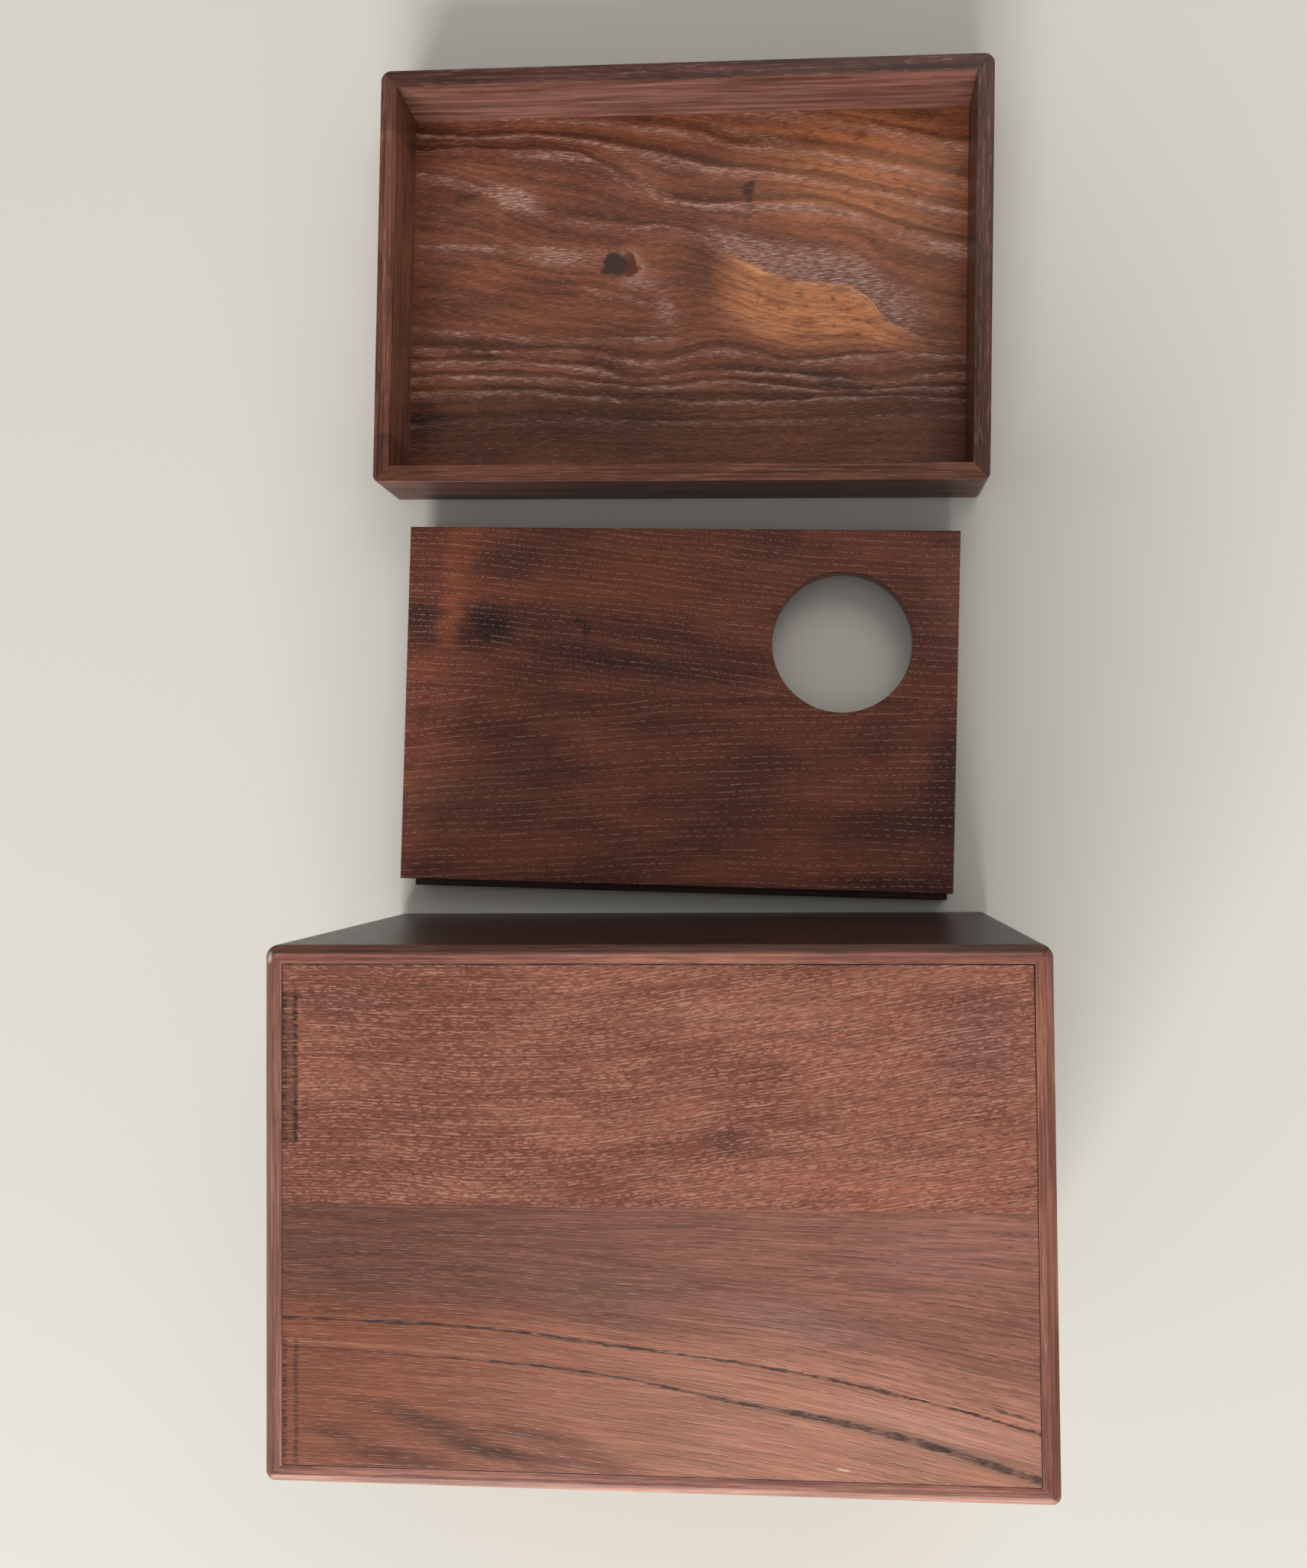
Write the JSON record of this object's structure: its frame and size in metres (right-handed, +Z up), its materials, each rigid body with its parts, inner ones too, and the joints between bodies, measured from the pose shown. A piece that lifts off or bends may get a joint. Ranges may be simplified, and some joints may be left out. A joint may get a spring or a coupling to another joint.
{
  "type": "tea utensil box",
  "caption": "Lacquered wooden box for tea utensils, upside down, with its tray lid and a loose shelf with a round hole for the caddy.",
  "frame": {"origin": "on the ground, in the middle of the layout's outline", "axes": "+X to the right along the grain, +Y to the back from the box past the shelf to the tray, +Z up"},
  "size_m": [0.3351, 0.6864, 0.1765],
  "materials": {
    "box_walls": "satin clear red-brown lacquer over open grain",
    "box_base": "satin clear red-brown lacquer over open grain",
    "box_ledges": "satin clear red-brown lacquer over open grain",
    "splines": "plain unfinished wood, hidden",
    "tray_walls": "satin clear red-brown lacquer over open grain",
    "tray_floor": "satin clear red-brown lacquer over open grain",
    "shelf_planks": "satin clear red-brown lacquer over open grain",
    "shelf_battens": "satin clear red-brown lacquer over open grain"
  },
  "bodies": {
    "box": {"box_wall_front": "box_walls", "box_wall_rear": "box_walls", "box_wall_left": "box_walls", "box_wall_right": "box_walls", "box_base_rear_plank": "box_base", "box_base_front_plank": "box_base", "box_ledge_left": "box_ledges", "box_ledge_right": "box_ledges", "box_corner_splines": "splines"},
    "tray": {"tray_wall_front": "tray_walls", "tray_wall_rear": "tray_walls", "tray_wall_left": "tray_walls", "tray_wall_right": "tray_walls", "tray_floor": "tray_floor", "tray_corner_splines": "splines"},
    "shelf": {"shelf_rear_plank": "shelf_planks", "shelf_front_plank": "shelf_planks", "shelf_front_batten": "shelf_battens", "shelf_rear_batten": "shelf_battens"}
  },
  "joints": [
    {"name": "tray_lift", "type": "slide", "parent": "box", "child": "tray", "axis": [0, 0, 1], "range_m": [0, 0.25]},
    {"name": "shelf_lift", "type": "slide", "parent": "box", "child": "shelf", "axis": [0, 0, 1], "range_m": [0, 0.25]}
  ]
}
